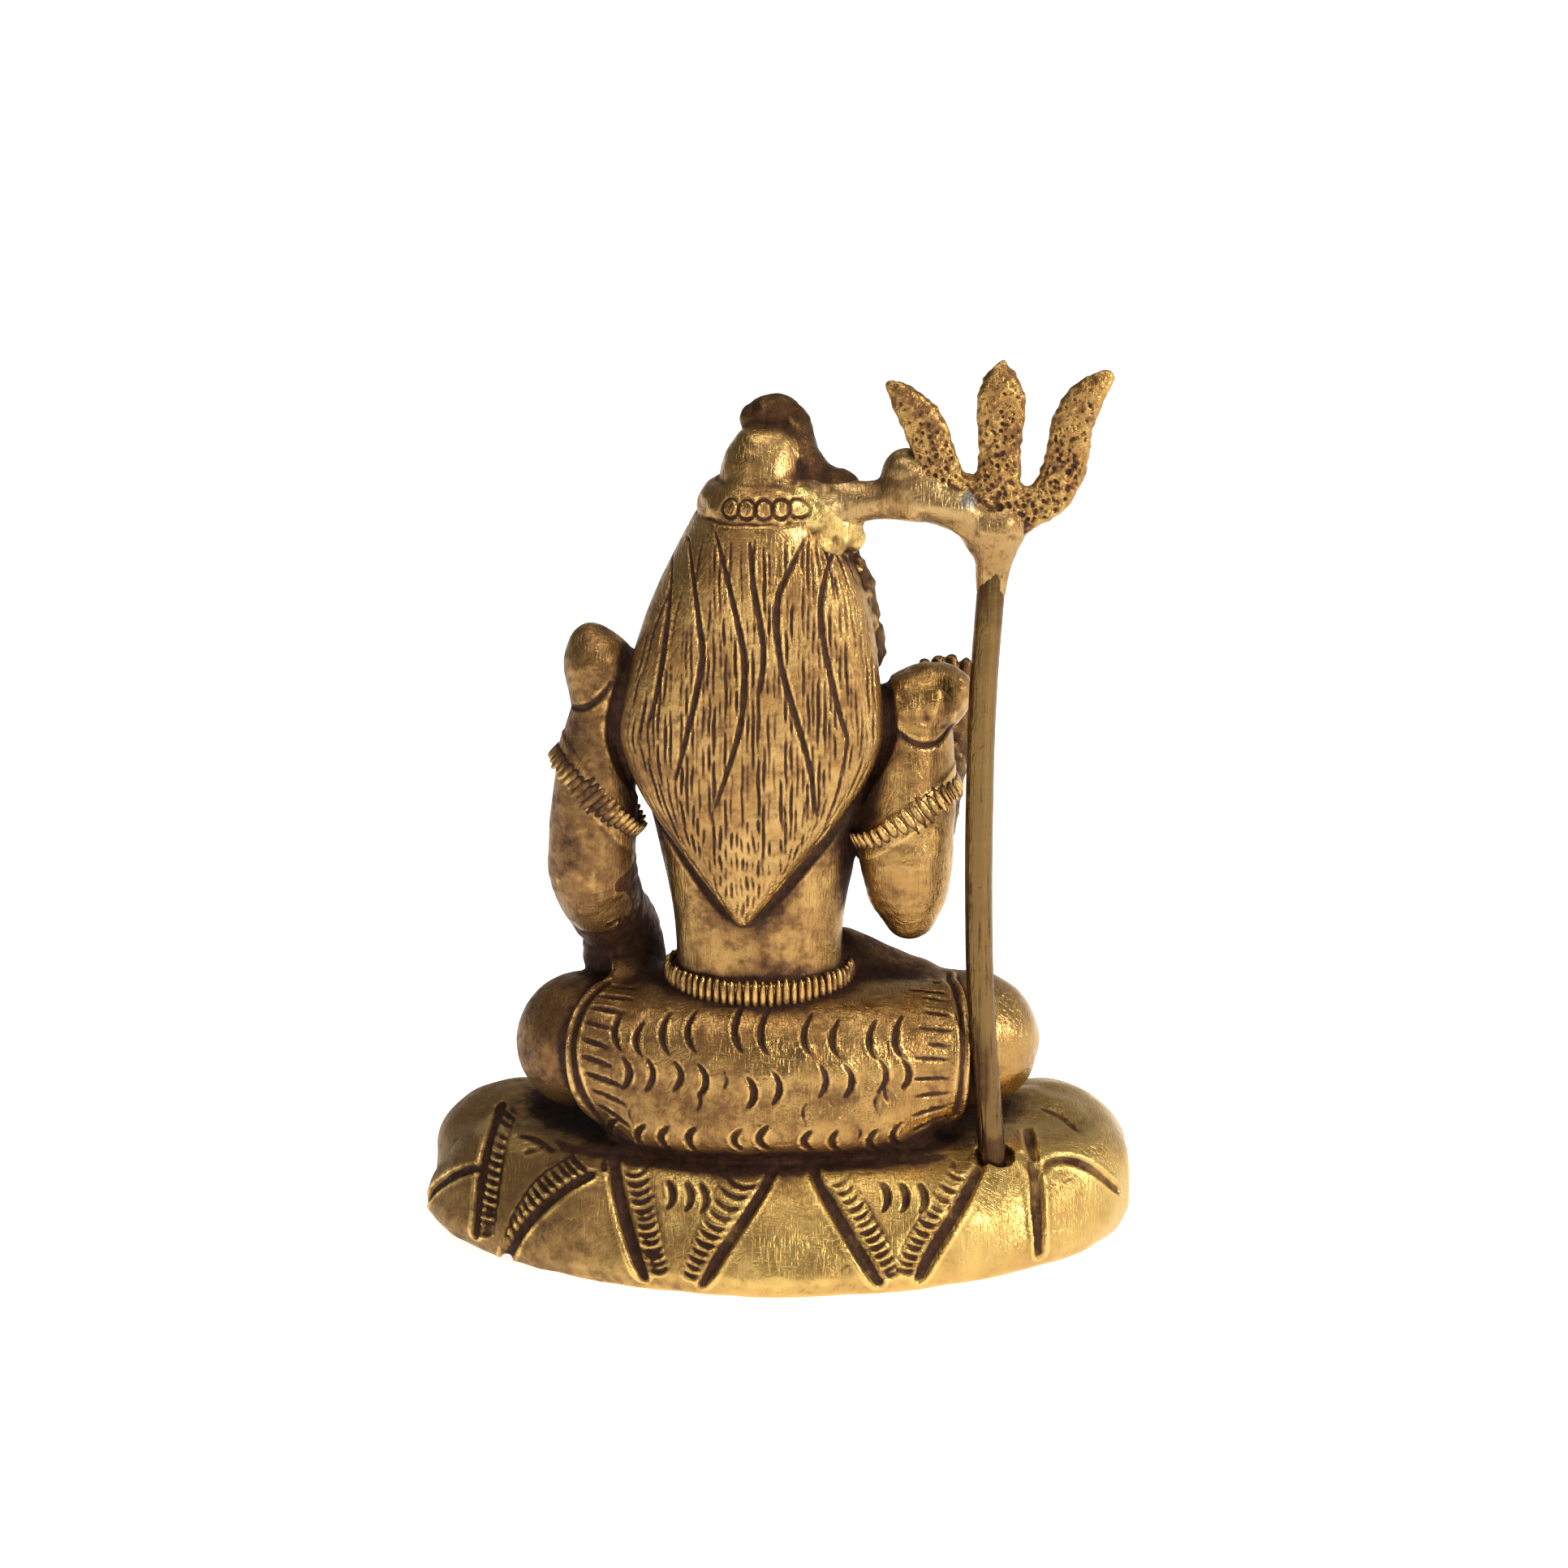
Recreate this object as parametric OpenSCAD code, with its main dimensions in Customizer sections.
// Seated brass figure on a low mound, with a trident on a thin bowed rod beside it.
// The figure faces -Y, +Z is up, and its left hand side is at +X. Lengths are in millimetres.
// The origin is the middle of the mound's underside.

/* [Mound] */
// Width of the mound from end to end
base_w = 78; // [70:1:100]
// Depth of the mound from front to back
base_d = 44.6; // [38:0.2:56]
// Height of the mound under the figure
base_h = 12; // [10:0.5:16]
// Thickness of the mound's wall, which is hollow underneath
base_wall = 3.5; // [2.5:0.5:4.5]

/* [Seat] */
// Span across the two bare knees
knee_span = 58; // [48:1:70]
// Height of the lap above the mound
lap_h = 17.5; // [14:0.5:21]
// Depth of the hips from front to back
hip_d = 24; // [20:0.5:29]
// Width of the skin wrapped round the hips, from hem to hem
wrap_w = 42; // [34:1:47]
// Thickness of a crossed shin
shin_d = 8; // [6.5:0.5:9.5]

/* [Body] */
// Height from the lap to the shoulders
torso_h = 31; // [26:1:38]
// Width of the waist
waist_w = 18.6; // [15:0.2:22]
// Width of the chest
chest_w = 26; // [22:0.5:30]
// Depth of the chest
chest_d = 14; // [11:0.5:16]
// Distance between the two shoulder joints
shoulder_w = 32; // [28:0.5:37]
// How much higher the left shoulder stands than the right one
shoulder_tilt = 4.4; // [0:0.2:6]
// Diameter of the upper arms
arm_d = 9.4; // [8:0.2:11]
// How far an armlet stands proud of the arm
armlet_lift = 0.8; // [0.5:0.1:1.2]

/* [Head and hair] */
// Height of the neck between the shoulders and the chin
neck_h = 6; // [5:0.5:8]
// Height of the head from the chin to the crown
head_h = 16.5; // [14:0.5:20]
// Width of the head
head_w = 13; // [11:0.5:15]
// Width of the mane at its widest
mane_w = 28; // [24:0.5:32]
// Length of the mane from its pointed tip to the hair band
mane_h = 44; // [38:0.5:50]
// Width of the hair band
band_w = 13.8; // [12.5:0.1:15.5]
// Height of the bun above the hair band
bun_h = 7.5; // [6:0.5:9]
// Width of the bun at its foot
bun_w = 10; // [8.5:0.5:11.5]

/* [Trident] */
// Diameter of the rod
rod_d = 3; // [2.4:0.1:3.6]
// How far the rod bows towards the figure at half its length
rod_bow = 1.7; // [0.8:0.1:2.5]
// Distance from the middle of the mound to the near side of the rod's foot
rod_offset = 22.2; // [21.5:0.1:24.5]
// Clearance all round the rod's foot in its hole
rod_gap = 0.6; // [0.3:0.1:1]
// Height of the trident head above its collar
trident_h = 18.6; // [16:0.2:22]
// Width of the trident head across its outer tips
trident_w = 22.4; // [19:0.2:27]
// Thickness of the trident head
trident_t = 2.6; // [1.8:0.1:3.2]
// Thickness of the bar that ties the trident to the hair
bridge_d = 4.2; // [3.2:0.1:5]

/* [Hidden] */

// Facets round a large section, round a limb and round a small lump
body_sides = 24;
limb_sides = 16;
lump_sides = 14;
// Facets round a true circle
round_sides = 48;
// Length by which a cutting tool passes through a face
through = 1;

// Levels that everything on the mound is measured from
lap_z = base_h + lap_h;
shoulder_z = lap_z + torso_h;
chin_z = shoulder_z + neck_h;
crown_z = chin_z + head_h;
bun_top_z = crown_z + bun_h;

// The spine stands a little to the figure's left of the middle of the mound
spine_x = 2;

// Joints of the arms
left_shoulder = [spine_x + shoulder_w / 2, 1, shoulder_z + shoulder_tilt / 2];
right_shoulder = [spine_x - shoulder_w / 2, 1, shoulder_z - shoulder_tilt / 2];
left_elbow = left_shoulder + [2, 1.2, -torso_h * 0.62];
right_elbow = right_shoulder + [0.2, 2.2, -torso_h * 0.64];
left_wrist = [left_elbow[0] - 3, -8, lap_z - 0.5];
right_wrist = right_elbow + [-4.6, -11.5, 12];
raised_hand_h = 11;

// Places along the trident. Its head stands in a plane behind the figure's own middle
trident_y = 6;
rod_y = 9;
rod_foot_z = base_h - base_wall - 0.5;
collar_z = crown_z - 7;
collar_h = 5;
fork_z = collar_z + collar_h - 1;
rod_x = rod_offset + rod_d / 2;
trident_x = -(rod_x - 0.6);
rod_top = [-(rod_x - 1), trident_y, collar_z + 1.5];
rod_foot = [-rod_x, rod_y, rod_foot_z];

// ---------------------------------------------------------------- curves and skins

function unit(v) = v / norm(v);
function knot(p, i) = p[max(0, min(len(p) - 1, i))];
// Point of a Catmull-Rom curve at the fraction t between knots i and i + 1
function curve_point(p, i, t) =
    let (a = knot(p, i - 1), b = knot(p, i), c = knot(p, i + 1), d = knot(p, i + 2))
    0.5 * (2 * b + (c - a) * t + (2 * a - 5 * b + 4 * c - d) * t * t
        + (3 * b - a - 3 * c + d) * t * t * t);
// The curve through all knots, with n steps between one knot and the next
function smooth(p, n) =
    [for (i = [0 : len(p) - 2], k = [0 : n - 1]) curve_point(p, i, k / n), p[len(p) - 1]];
// Oval ring square to the direction t: ra reaches across, rb towards up
function oval_ring(c, t, up, ra, rb, sides) =
    let (s = unit(cross(up, t)), w = unit(cross(t, s)))
    [for (k = [0 : sides - 1]) c + s * ra * cos(360 * k / sides) + w * rb * sin(360 * k / sides)];

// Closed skin over a row of rings that all have the same number of points
module skin(rings) {
    n = len(rings[0]);
    m = len(rings);
    polyhedron(
        points = [for (r = rings) each r],
        faces = [
            [for (k = [0 : n - 1]) k],
            for (j = [0 : m - 2], k = [0 : n - 1]) each [
                [j * n + k, (j + 1) * n + k, j * n + (k + 1) % n],
                [j * n + (k + 1) % n, (j + 1) * n + k, (j + 1) * n + (k + 1) % n]],
            [for (k = [n - 1 : -1 : 0]) (m - 1) * n + k]
        ]);
}

// Level oval sections, each given as [z, x, y, half width, half depth]
module stack(levels, steps = 2, sides = body_sides) {
    skin([for (v = smooth(levels, steps))
        oval_ring([v[1], v[2], v[0]], [0, 0, 1], [0, 1, 0], v[3], v[4], sides)]);
}

// Limb along a path of [x, y, z, ra, rb], with its two ends rounded by the given lengths
module limb(path, up, ends, steps = 2, sides = limb_sides) {
    p = smooth(path, steps);
    m = len(p);
    pos = [for (v = p) [v[0], v[1], v[2]]];
    dir = [for (i = [0 : m - 1]) unit(pos[min(m - 1, i + 1)] - pos[max(0, i - 1)])];
    cap_angles = [84, 60, 30];
    cap_angles_back = [30, 60, 84];
    skin([
        for (a = ends[0] > 0 ? cap_angles : [])
            oval_ring(pos[0] - dir[0] * ends[0] * sin(a), dir[0], up,
                p[0][3] * cos(a), p[0][4] * cos(a), sides),
        for (i = [0 : m - 1]) oval_ring(pos[i], dir[i], up, p[i][3], p[i][4], sides),
        for (a = ends[1] > 0 ? cap_angles_back : [])
            oval_ring(pos[m - 1] + dir[m - 1] * ends[1] * sin(a), dir[m - 1], up,
                p[m - 1][3] * cos(a), p[m - 1][4] * cos(a), sides)]);
}

// Rounded lump with its middle at c and half sizes r
module lump(c, r, sides = lump_sides) {
    skin([for (a = [-84, -60, -30, 0, 30, 60, 84])
        oval_ring(c + [0, 0, r[2] * sin(a)], [0, 0, 1], [0, 1, 0],
            r[0] * cos(a), r[1] * cos(a), sides)]);
}

// ---------------------------------------------------------------- whole forms, before they are fitted

// Shares of the half width at the left end and the right end, and of the half depth, level by level
mound_levels = [
    [0, 0.955, 0.96, 0.955],
    [0.08, 0.985, 0.985, 0.985],
    [0.23, 1, 1, 1],
    [0.5, 0.975, 0.995, 0.93],
    [0.75, 0.915, 0.975, 0.8],
    [0.92, 0.85, 0.93, 0.68],
    [1, 0.76, 0.85, 0.57]];
mound_sides = 36;
mound_steps = 2;

// The mound's outer form, moved inwards by inset. A cutter's foot also reaches below the floor
module mound_form(inset, cutter = false) {
    half_w = base_w / 2 - inset;
    half_d = base_d / 2 - inset;
    height = base_h - inset;
    levels = smooth(mound_levels, mound_steps);
    function mound_ring(v, z) = [for (k = [0 : mound_sides - 1])
        let (a = 360 * k / mound_sides)
        [half_w * cos(a) * (cos(a) > 0 ? v[1] : v[2]), half_d * sin(a) * v[3], z]];
    skin([
        if (cutter) mound_ring(levels[0], -through),
        for (v = levels) mound_ring(v, v[0] * height)]);
}

hip_y = 2;
wrap_left_x = spine_x - 1 + wrap_w / 2;
wrap_right_x = wrap_left_x - wrap_w;
hip_z = base_h + lap_h * 0.49;
hip_half_h = lap_h * 0.53;
// Width of a hem, its height above the skin and the places of the two hems
hem_w = 1.6;
hem_lift = 0.5;
left_hem_x = wrap_left_x - hem_w * 1.2;
right_hem_x = wrap_right_x + hem_w * 1.2;

// Hips and thighs under the skin, from hem to hem
module hip_form(grow = 0) {
    half_d = hip_d / 2 + grow;
    half_h = hip_half_h + grow;
    limb([
        [wrap_right_x, hip_y - 1.5, hip_z + 0.5, half_d * 0.76, half_h * 0.88],
        [wrap_right_x + wrap_w * 0.25, hip_y - 0.5, hip_z, half_d * 0.91, half_h * 0.95],
        [spine_x, hip_y, hip_z, half_d, half_h],
        [wrap_left_x - wrap_w * 0.25, hip_y - 0.5, hip_z, half_d * 0.91, half_h * 0.95],
        [wrap_left_x, hip_y - 1.5, hip_z + 0.5, half_d * 0.76, half_h * 0.88]],
        [0, 0, 1], [0, 0], sides = body_sides);
}

knee_r = 7.5;
knee_z = base_h + lap_h * 0.52;
// Thigh from inside the hips to its knee. The side is 1 for the left one and -1 for the right one
module thigh_form(side) {
    knee_x = side * (knee_span / 2 - knee_r * 0.9);
    limb([
        [side * (knee_span / 2 - knee_r * 1.9), 0, knee_z, knee_r * 0.85, knee_r * 0.85],
        [side * (knee_span / 2 - knee_r * 1.5), -0.6, knee_z, knee_r * 0.95, knee_r * 0.96],
        [knee_x, -1.6, knee_z, knee_r * 0.96, knee_r]],
        [0, 0, 1], [0, knee_r * 0.9]);
}
// Everything between the two hems, where no leg shows through the skin
module between_hems() {
    near = right_hem_x + hem_w / 2;
    translate([near, -hip_d, base_h]) cube([left_hem_x - hem_w / 2 - near, 2 * hip_d, lap_h + hip_d]);
}

shin_z = base_h + shin_d * 0.48;
shin_front_y = -(hip_d / 2 + shin_d * 0.42);
// Shin from its knee to the ankle in front of the body. The left shin lies on top of the right one
module shin_form(side, rise) {
    r = shin_d / 2;
    limb([
        [side * (knee_span / 2 - knee_r * 0.95), -5.5, shin_z + 2, r * 1.1, r * 1.15],
        [side * knee_span * 0.3, shin_front_y + 3, shin_z + rise * 0.6, r * 1.1, r * 1.1],
        [side * knee_span * 0.1, shin_front_y, shin_z + rise, r, r],
        [-side * knee_span * 0.1, shin_front_y + 0.5, shin_z + rise * 1.4, r * 0.8, r * 0.8]],
        [0, 0, 1], [r * 0.8, r * 0.6]);
}

// How far the last section of a foot stays inside the end of the skin
toe_inset = 5.34;
// Foot that lies on the other leg with its sole turned up
module foot_form(side, rise) {
    r = shin_d / 2;
    heel_x = knee_span * 0.11;
    toe_x = wrap_w / 2 - toe_inset;
    limb([
        [-side * heel_x, shin_front_y + 0.5, shin_z + rise * 1.5, r * 0.8, r * 0.72],
        [-side * (heel_x * 0.56 + toe_x * 0.44), shin_front_y + 2.2, shin_z + rise * 1.7, r * 0.85,
            r * 0.62],
        [-side * toe_x, shin_front_y + 5.2, shin_z + rise * 1.7, r * 0.8, r * 0.5]],
        [0, 0, 1], [r * 0.6, r * 0.7]);
}
left_rise = 4.6;
right_rise = 0.6;

module torso_form() {
    stack([
        [lap_z - 5, spine_x, 0.8, waist_w / 2, chest_d * 0.5],
        [lap_z + torso_h * 0.18, spine_x, 0.8, waist_w * 0.49, chest_d * 0.46],
        [lap_z + torso_h * 0.5, spine_x, 0.4, chest_w * 0.42, chest_d * 0.49],
        [lap_z + torso_h * 0.8, spine_x, 0, chest_w / 2, chest_d / 2],
        [shoulder_z, spine_x, 0, chest_w * 0.48, chest_d * 0.44],
        [shoulder_z + 2.5, spine_x, 0, chest_w * 0.3, chest_d * 0.36],
        [chin_z - 0.5, spine_x, -0.3, head_w * 0.32, head_w * 0.33],
        [chin_z + 3, spine_x, -0.5, head_w * 0.32, head_w * 0.33]]);
}

head_y = -0.8;
module head_form() {
    stack([
        [chin_z, spine_x, head_y - 2.2, head_w * 0.14, head_w * 0.16],
        [chin_z + head_h * 0.08, spine_x, head_y - 1.6, head_w * 0.3, head_w * 0.33],
        [chin_z + head_h * 0.3, spine_x, head_y - 0.6, head_w * 0.45, head_w * 0.48],
        [chin_z + head_h * 0.6, spine_x, head_y, head_w / 2, head_w * 0.54],
        [chin_z + head_h * 0.85, spine_x, head_y + 0.4, head_w * 0.45, head_w * 0.49],
        [crown_z + 0.6, spine_x, head_y + 0.6, head_w * 0.27, head_w * 0.29]]);
}

// Upper arm from its shoulder joint a to its elbow b
module upper_arm_form(a, b, grow = 0) {
    r = arm_d / 2 + grow;
    mid = (a + b) / 2;
    limb([
        [a[0], a[1], a[2], r * 0.96, r * 0.96],
        [mid[0], mid[1], mid[2], r, r],
        [b[0], b[1], b[2] + r * 0.4, r * 0.9, r * 0.9]],
        [0, 1, 0], [r * 0.7, r]);
}

// Forearm from its elbow a to its wrist b
module forearm_form(a, b) {
    r = arm_d / 2;
    mid = (a * 0.45 + b * 0.55);
    limb([
        [a[0], a[1], a[2], r * 0.84, r * 0.84],
        [mid[0], mid[1], mid[2], r * 0.72, r * 0.72],
        [b[0], b[1], b[2], r * 0.56, r * 0.56]],
        [0, 1, 0], [r * 0.5, r * 0.3]);
}

module left_hand_form() {
    limb([
        [left_wrist[0], left_wrist[1], left_wrist[2], 2.5, 2.3],
        [left_wrist[0] + 0.8, left_wrist[1] - 3.2, left_wrist[2] - 2.2, 3, 1.7],
        [left_wrist[0] + 1.8, left_wrist[1] - 6, left_wrist[2] - 6, 2.6, 1.3]],
        [0, 1, 0.6], [1, 1.4]);
}

module right_hand_form() {
    limb([
        [right_wrist[0], right_wrist[1], right_wrist[2], 2.3, 2.1],
        [right_wrist[0] - 0.1, right_wrist[1] - 0.6, right_wrist[2] + raised_hand_h * 0.35, 2.9, 1.6],
        [right_wrist[0] + 0.2, right_wrist[1] - 0.3, right_wrist[2] + raised_hand_h * 0.85, 2.4, 1.1]],
        [0, 1, 0], [1, 1.4]);
}

// Mane down the back, from its pointed tip up to the hair band
mane_foot_z = crown_z - 1.5 - mane_h;
module mane_form() {
    half = mane_w / 2;
    stack([
        [mane_foot_z, spine_x + 1.7, 8, half * 0.04, 0.7],
        [mane_foot_z + mane_h * 0.07, spine_x + 1.5, 7.6, half * 0.28, 2.4],
        [mane_foot_z + mane_h * 0.18, spine_x + 1.2, 6.9, half * 0.56, 3.7],
        [mane_foot_z + mane_h * 0.32, spine_x + 0.9, 6.2, half * 0.86, 4.6],
        [mane_foot_z + mane_h * 0.48, spine_x + 0.8, 5.4, half, 5.5],
        [mane_foot_z + mane_h * 0.62, spine_x + 0.5, 4.5, half * 0.95, 6.1],
        [mane_foot_z + mane_h * 0.75, spine_x, 3.5, half * 0.86, 6.7],
        [mane_foot_z + mane_h * 0.87, spine_x - 0.4, 2.4, half * 0.72, 7.3],
        [mane_foot_z + mane_h, spine_x - 0.2, 1.5, band_w * 0.5, 7.1]]);
}

band_y = 1.5;
module band_form() {
    half = band_w / 2;
    stack([
        [crown_z - 2, spine_x - 0.2, band_y, half * 0.93, half * 0.96],
        [crown_z - 1.1, spine_x - 0.2, band_y, half, half * 1.03],
        [crown_z + 0.5, spine_x - 0.2, band_y, half * 0.98, half * 1.01],
        [crown_z + 1.3, spine_x - 0.3, band_y, half * 0.86, half * 0.89]]);
}

module bun_form() {
    half = bun_w / 2;
    stack([
        [crown_z - 1, spine_x - 0.2, band_y, half, half],
        [crown_z + bun_h * 0.3, spine_x - 0.3, band_y, half * 0.9, half * 0.94],
        [crown_z + bun_h * 0.7, spine_x - 0.4, band_y, half * 0.72, half * 0.78],
        [crown_z + bun_h * 0.95, spine_x - 0.5, band_y - 0.2, half * 0.46, half * 0.5],
        [bun_top_z + 0.4, spine_x - 0.5, band_y - 0.3, half * 0.12, half * 0.14]], sides = 20);
}

module bun_knob_form() {
    lump([spine_x - 1.4, -0.4, bun_top_z - 0.3], [3.3, 2.5, 2.8]);
}

module side_lock_form() {
    limb([
        [spine_x - 3.9, 0.2, bun_top_z - 1.6, 1.6, 1.6],
        [spine_x - 5.2, 1, bun_top_z - 4.4, 1.9, 1.9],
        [spine_x - 5.8, 1.8, crown_z + 0.6, 2.1, 2.1]],
        [0, 1, 0], [1.4, 1], sides = lump_sides);
}

bridge_r = bridge_d / 2;
bridge_z = crown_z - 0.6;
module bridge_form() {
    hair_x = spine_x - band_w * 0.36;
    limb([
        [hair_x, band_y + 2, crown_z - 1, bridge_r * 1.25, bridge_r * 1.25],
        [hair_x - 4.2, band_y + 2.8, crown_z - 1.6, bridge_r, bridge_r],
        [hair_x - 8.6, trident_y - 1, bridge_z, bridge_r * 0.95, bridge_r * 0.95],
        [hair_x - 13.4, trident_y - 0.2, bridge_z - 0.1, bridge_r, bridge_r],
        [trident_x + 1.2, trident_y, fork_z - 0.6, bridge_r * 0.95, bridge_r * 0.95]],
        [0, 0, 1], [1, 0.6]);
}

// Rod as a true arc between its foot and its top, bowed towards the figure
rod_chord = rod_top - rod_foot;
rod_len = norm(rod_chord);
rod_bend_r = (rod_len * rod_len / 4 + rod_bow * rod_bow) / (2 * rod_bow);
rod_half_angle = asin(rod_len / 2 / rod_bend_r);
module rod_form() {
    translate((rod_foot + rod_top) / 2)
        rotate([-asin(rod_chord[1] / rod_len), atan2(rod_chord[0], rod_chord[2]), 0])
        translate([-rod_bend_r * cos(rod_half_angle), 0, 0])
        rotate([90, 0, 0])
        rotate([0, 0, -rod_half_angle])
        rotate_extrude(angle = 2 * rod_half_angle, $fn = round_sides)
        translate([rod_bend_r, 0]) circle(d = rod_d);
}

module collar_form() {
    translate([trident_x + 0.3, trident_y, collar_z])
        cylinder(h = collar_h, r1 = rod_d * 0.6, r2 = rod_d * 1.05, $fn = round_sides);
}

// Leaf-shaped prong, with half widths shared out along its height and a tip that leans over
leaf_shares = [[0, 0.46], [0.25, 0.42], [0.5, 0.47], [0.68, 0.5], [0.86, 0.33], [1, 0.04]];
module leaf(height, width, lean) {
    side = smooth(leaf_shares, 4);
    n = len(side);
    function lean_at(t) = lean * pow(t, 1.25);
    polygon([
        for (v = side) [lean_at(v[0]) + width * v[1], height * v[0]],
        for (i = [n - 1 : -1 : 0])
            [lean_at(side[i][0]) - width * side[i][1], height * side[i][0]]]);
}

// Flat trident head: a half ring that carries three prongs
fork_r = trident_w * 0.4;
fork_band = trident_h * 0.23;
prong_w = trident_w * 0.215;
module trident_form() {
    reach = trident_w / 2;
    arm_x = fork_r - prong_w * 0.5;
    translate([trident_x, trident_y + trident_t / 2, fork_z - 0.4])
        rotate([90, 0, 0])
        linear_extrude(height = trident_t) {
            difference() {
                translate([0, fork_r]) circle(r = fork_r, $fn = round_sides);
                translate([0, fork_r]) circle(r = fork_r - fork_band, $fn = round_sides);
                translate([-fork_r - through, fork_r * 0.68]) square([2 * (fork_r + through), 2 * fork_r]);
            }
            translate([0, fork_band * 0.4]) leaf(trident_h - fork_band * 0.4 + 0.4, prong_w * 1.06, 0);
            translate([arm_x - 0.6, fork_r * 0.55])
                leaf(trident_h * 0.87 - fork_r * 0.55, prong_w, reach - arm_x + 0.4);
            translate([-arm_x + 0.3, fork_r * 0.55])
                leaf(trident_h * 0.93 - fork_r * 0.55, prong_w * 0.98, -(reach - arm_x) - 0.1);
        }
}

// ---------------------------------------------------------------- fitted pieces

module base_mound() color("darkgoldenrod") difference() {
    mound_form(0);
    mound_form(base_wall, cutter = true);
    translate([rod_foot[0], rod_foot[1], 0])
        cylinder(h = base_h + through, d = rod_d + 2 * rod_gap, $fn = round_sides);
}

module hip_wrap() color("goldenrod") difference() {
    hip_form();
    mound_form(0);
}

// Raised border of the skin at one end of the wrap
module wrap_hem(end_x) {
    intersection() {
        hip_form(hem_lift);
        translate([end_x - hem_w / 2, -hip_d, 0]) cube([hem_w, 2 * hip_d, lap_z + hip_d]);
    }
}
module left_wrap_hem() color("goldenrod") difference() {
    wrap_hem(left_hem_x);
    hip_form();
    mound_form(0);
}
module right_wrap_hem() color("goldenrod") difference() {
    wrap_hem(right_hem_x);
    hip_form();
    mound_form(0);
}

module left_thigh() color("peru") difference() {
    thigh_form(1);
    hip_form();
    wrap_hem(left_hem_x);
    between_hems();
    mound_form(0);
}
module right_thigh() color("peru") difference() {
    thigh_form(-1);
    hip_form();
    wrap_hem(right_hem_x);
    between_hems();
    mound_form(0);
}

module hips_and_thighs() {
    hip_form();
    thigh_form(1);
    thigh_form(-1);
    wrap_hem(left_hem_x);
    wrap_hem(right_hem_x);
    mound_form(0);
}
module right_shin() color("peru") difference() {
    shin_form(-1, right_rise);
    hips_and_thighs();
}
module left_shin() color("peru") difference() {
    shin_form(1, left_rise);
    shin_form(-1, right_rise);
    hips_and_thighs();
}
module left_foot() color("peru") difference() {
    foot_form(1, left_rise);
    shin_form(1, left_rise);
    shin_form(-1, right_rise);
    hips_and_thighs();
}
module right_foot() color("peru") difference() {
    foot_form(-1, right_rise);
    shin_form(1, left_rise);
    shin_form(-1, right_rise);
    hips_and_thighs();
}

module torso() color("peru") difference() {
    torso_form();
    hip_form();
    head_form();
}

// Ribbed belt round the waist, just above the lap
belt_h = 3;
belt_lift = 0.7;
module waist_belt() color("gold") difference() {
    stack([
        [lap_z - 1.6, spine_x, 0.8, waist_w / 2 + belt_lift * 0.6, chest_d * 0.5 + belt_lift * 0.6],
        [lap_z - 0.9, spine_x, 0.8, waist_w / 2 + belt_lift, chest_d * 0.5 + belt_lift],
        [lap_z + belt_h - 2.3, spine_x, 0.8, waist_w / 2 + belt_lift, chest_d * 0.5 + belt_lift],
        [lap_z + belt_h - 1.6, spine_x, 0.8, waist_w / 2 + belt_lift * 0.6,
            chest_d * 0.5 + belt_lift * 0.6]]);
    torso_form();
    hip_form();
}

module left_upper_arm() color("peru") difference() {
    upper_arm_form(left_shoulder, left_elbow);
    torso_form();
    mane_form();
}
module right_upper_arm() color("peru") difference() {
    upper_arm_form(right_shoulder, right_elbow);
    torso_form();
    mane_form();
}
module left_forearm() color("saddlebrown") difference() {
    forearm_form(left_elbow, left_wrist);
    upper_arm_form(left_shoulder, left_elbow);
    thigh_form(1);
    hip_form();
}
module right_forearm() color("saddlebrown") difference() {
    forearm_form(right_elbow, right_wrist);
    upper_arm_form(right_shoulder, right_elbow);
    torso_form();
}
module left_hand() color("saddlebrown") difference() {
    left_hand_form();
    forearm_form(left_elbow, left_wrist);
    thigh_form(1);
    hip_form();
    wrap_hem(left_hem_x);
    shin_form(1, left_rise);
}
module right_hand() color("saddlebrown") difference() {
    right_hand_form();
    forearm_form(right_elbow, right_wrist);
}

// Slanting ribbed band round an upper arm. The slope is measured from level
armlet_w = 2.8;
module armlet(a, b, place, slope) {
    mid = a * (1 - place) + b * place;
    intersection() {
        upper_arm_form(a, b, armlet_lift);
        translate(mid) rotate([0, slope, 0]) cube([4 * arm_d, 4 * arm_d, armlet_w], center = true);
    }
}
module left_armlet() color("gold") difference() {
    armlet(left_shoulder, left_elbow, 0.62, -50);
    upper_arm_form(left_shoulder, left_elbow);
    forearm_form(left_elbow, left_wrist);
    torso_form();
    mane_form();
}
module right_armlet() color("gold") difference() {
    armlet(right_shoulder, right_elbow, 0.54, 34);
    upper_arm_form(right_shoulder, right_elbow);
    forearm_form(right_elbow, right_wrist);
    torso_form();
    mane_form();
}

// Rounded caps that stand on the shoulders
module left_cap_form() {
    lump(left_shoulder + [1, 0.2, 1.6], [4.6, 5, 5]);
}
module right_cap_form() {
    lump(right_shoulder + [-1.6, 0.2, 2.2], [5, 5, 4]);
}
module left_shoulder_cap() color("peru") difference() {
    left_cap_form();
    upper_arm_form(left_shoulder, left_elbow);
    torso_form();
    mane_form();
}
module right_shoulder_cap() color("peru") difference() {
    right_cap_form();
    upper_arm_form(right_shoulder, right_elbow);
    torso_form();
    mane_form();
}

module head() color("peru") difference() {
    head_form();
    band_form();
    bun_form();
}

module hair_mane() color("goldenrod") difference() {
    mane_form();
    torso_form();
    head_form();
    band_form();
}

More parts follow.
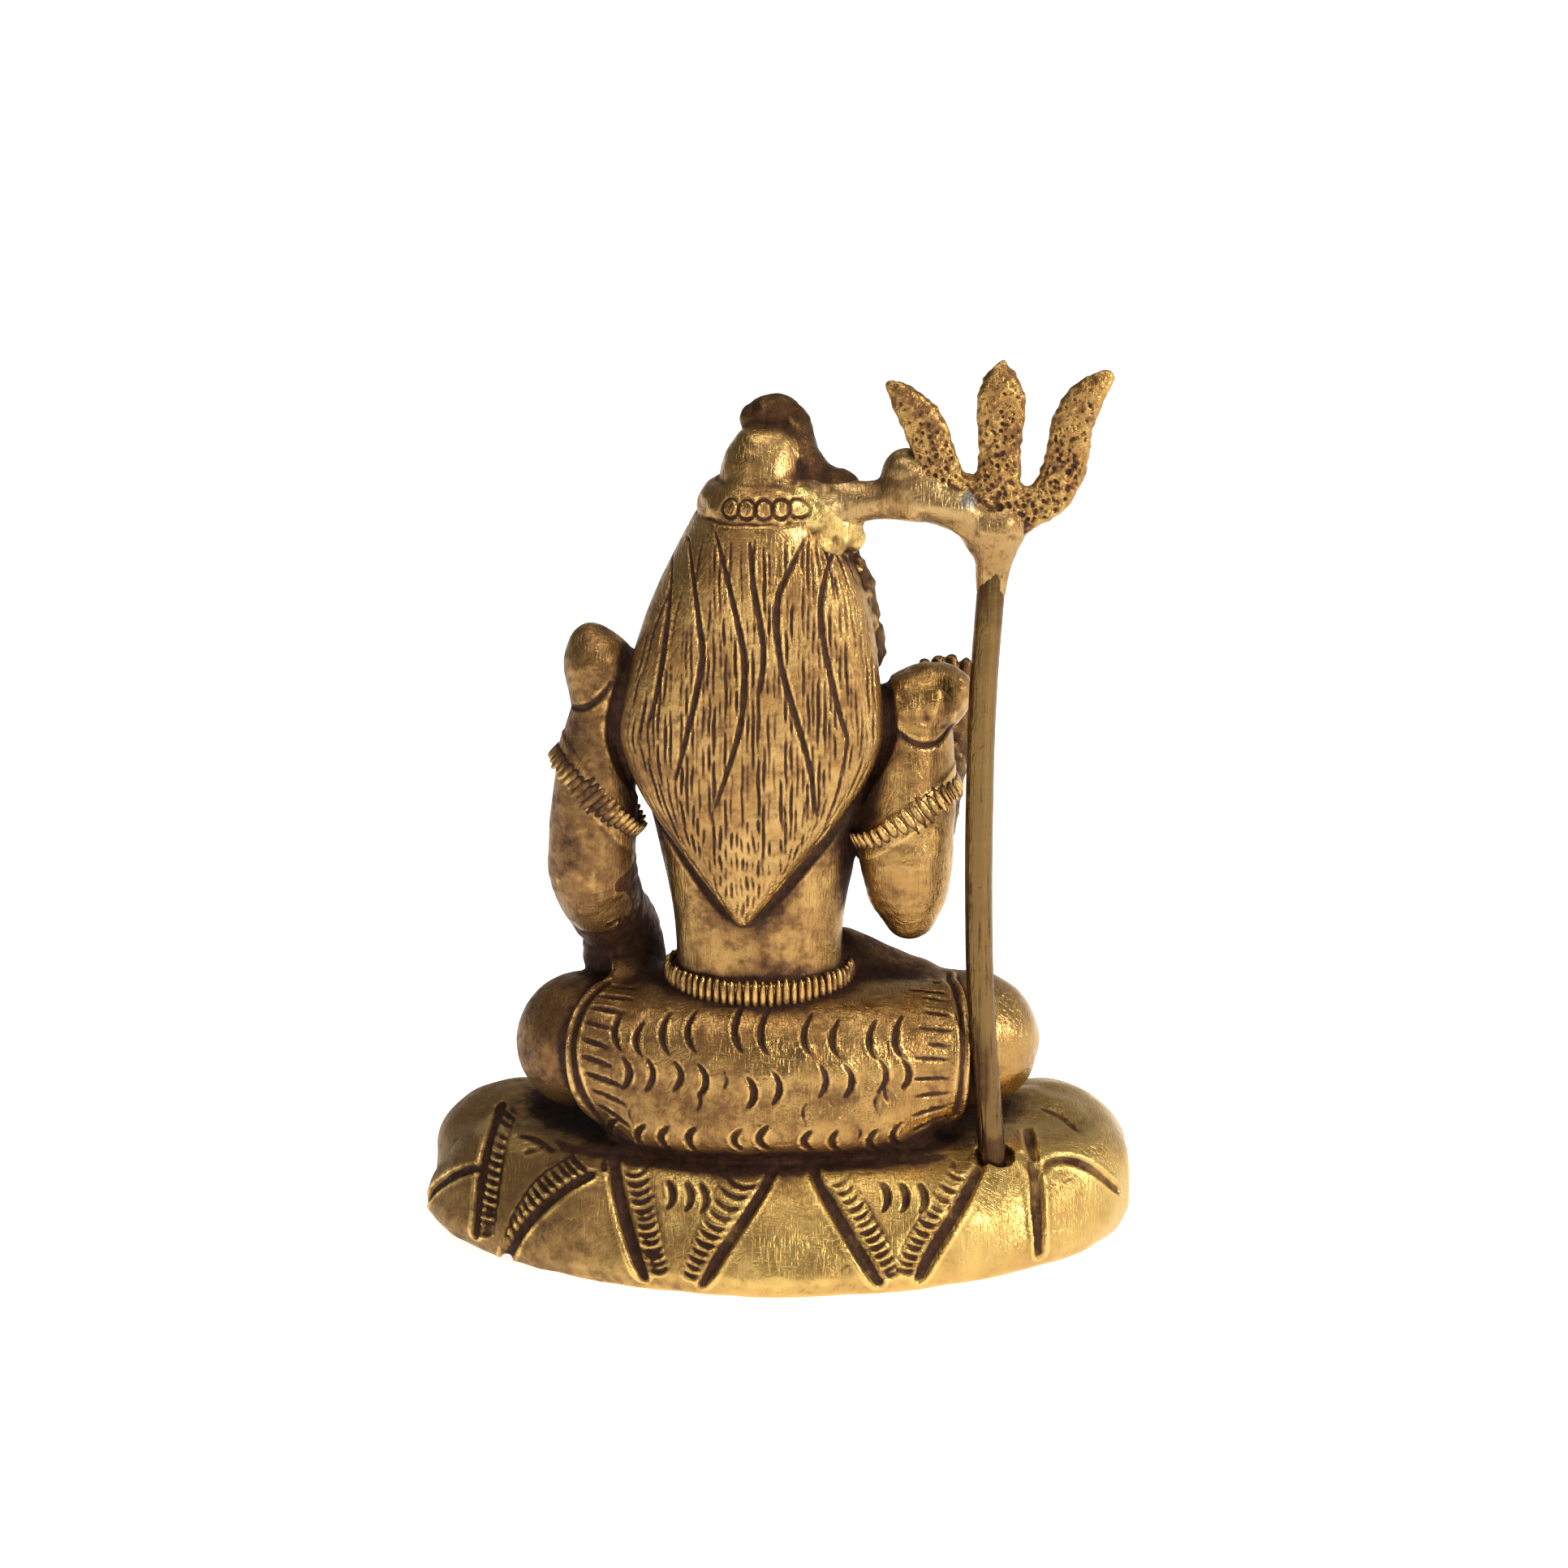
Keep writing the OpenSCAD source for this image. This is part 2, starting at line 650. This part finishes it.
earring_r = 1.7;
module earring(side) {
    difference() {
        lump([spine_x + side * (head_w / 2 + 0.7), head_y - 1, chin_z + head_h * 0.22],
            [earring_r * 0.8, earring_r, earring_r * 1.3]);
        head_form();
        mane_form();
    }
}
module left_earring() color("gold") earring(1);
module right_earring() color("gold") earring(-1);

// Beads on the chest, as one closed strand from shoulder to shoulder
bead_r = 1;
module necklace() color("gold") difference() {
    front_y = -chest_d / 2;
    limb([
        [spine_x + 5.2, front_y + 3.6, shoulder_z + 3, bead_r, bead_r],
        [spine_x + 6, front_y + 0.8, shoulder_z - torso_h * 0.1, bead_r, bead_r],
        [spine_x + 3.6, front_y - 0.3, shoulder_z - torso_h * 0.28, bead_r, bead_r],
        [spine_x, front_y - 0.3, shoulder_z - torso_h * 0.36, bead_r, bead_r],
        [spine_x - 3.6, front_y - 0.3, shoulder_z - torso_h * 0.28, bead_r, bead_r],
        [spine_x - 6, front_y + 0.8, shoulder_z - torso_h * 0.1, bead_r, bead_r],
        [spine_x - 5.2, front_y + 3.6, shoulder_z + 3, bead_r, bead_r]],
        [0, 1, 0.01], [0.6, 0.6], sides = 10);
    torso_form();
    serpent_form();
}

// Serpent that lies round the neck and climbs the right hand side of the hair
module serpent_form() {
    right_x = spine_x - mane_w * 0.4;
    limb([
        [right_x + 1.4, 1.6, chin_z + head_h * 0.5, 1.3, 1.5],
        [right_x, 2, chin_z + head_h * 0.2, 1.6, 1.8],
        [right_x, 1, shoulder_z + 4.4, 1.7, 1.9],
        [right_x + 5, -3.6, shoulder_z + 3.4, 1.6, 1.7],
        [spine_x, -5.4, shoulder_z + 2.4, 1.5, 1.5],
        [spine_x + 5.4, -4.2, shoulder_z + 3.8, 1.2, 1.2]],
        [0, 1, 0], [1.2, 1.2], sides = 12);
}
module neck_serpent() color("saddlebrown") difference() {
    serpent_form();
    torso_form();
    mane_form();
    head_form();
    upper_arm_form(right_shoulder, right_elbow);
    right_cap_form();
}

module hair_band() color("gold") difference() {
    band_form();
    bun_form();
}

module hair_bun() color("goldenrod") difference() {
    bun_form();
    bun_knob_form();
}

module bun_knob() color("saddlebrown") bun_knob_form();

module bun_side_lock() color("saddlebrown") difference() {
    side_lock_form();
    bun_form();
    bun_knob_form();
    band_form();
}

// Thin crescent moon on the front of the bun
moon_r = 2.6;
moon_t = 1;
module crescent_moon() color("gold") difference() {
    translate([spine_x + 2, band_y - bun_w * 0.4, crown_z + bun_h * 0.45])
        rotate([90, 0, 0])
        linear_extrude(height = moon_t + 1)
        difference() {
            circle(r = moon_r, $fn = round_sides);
            translate([-0.5, 1]) circle(r = moon_r * 0.85, $fn = round_sides);
        }
    bun_form();
    band_form();
}

module support_bridge() color("darkkhaki") difference() {
    bridge_form();
    band_form();
    bun_form();
    mane_form();
    head_form();
    side_lock_form();
    collar_form();
    trident_form();
}

module bridge_knob_form() {
    lump([trident_x + 9.4, trident_y - 0.4, bridge_z + 3.3], [2.6, 2, 2.6]);
}
module bridge_knob() color("peru") difference() {
    bridge_knob_form();
    bridge_form();
    trident_form();
}

module trident_collar() color("peru") difference() {
    collar_form();
    rod_form();
    trident_form();
}

module trident_head() color("gold") difference() {
    trident_form();
    rod_form();
}

module trident_rod() color("darkgoldenrod") rod_form();

module solder_form() {
    lump([trident_x + 4, trident_y + 1.4, bridge_z + 0.9], [1.9, 1.5, 1.7], 12);
}
module bridge_solder() color("gray") difference() {
    solder_form();
    bridge_form();
    trident_form();
    collar_form();
}

module hair_braze() color("yellow") difference() {
    lump([spine_x - band_w * 0.5, band_y + 2.6, crown_z - 2.4], [2.6, 2.4, 2.2], 12);
    bridge_form();
    band_form();
    mane_form();
    head_form();
    bun_form();
    side_lock_form();
}

base_mound();
hip_wrap();
left_wrap_hem();
right_wrap_hem();
left_thigh();
right_thigh();
left_shin();
right_shin();
left_foot();
right_foot();
torso();
waist_belt();
left_upper_arm();
left_forearm();
left_hand();
right_upper_arm();
right_forearm();
right_hand();
left_armlet();
right_armlet();
left_shoulder_cap();
right_shoulder_cap();
head();
left_earring();
right_earring();
necklace();
neck_serpent();
hair_mane();
hair_band();
hair_bun();
bun_knob();
bun_side_lock();
crescent_moon();
support_bridge();
bridge_knob();
trident_collar();
trident_head();
trident_rod();
bridge_solder();
hair_braze();
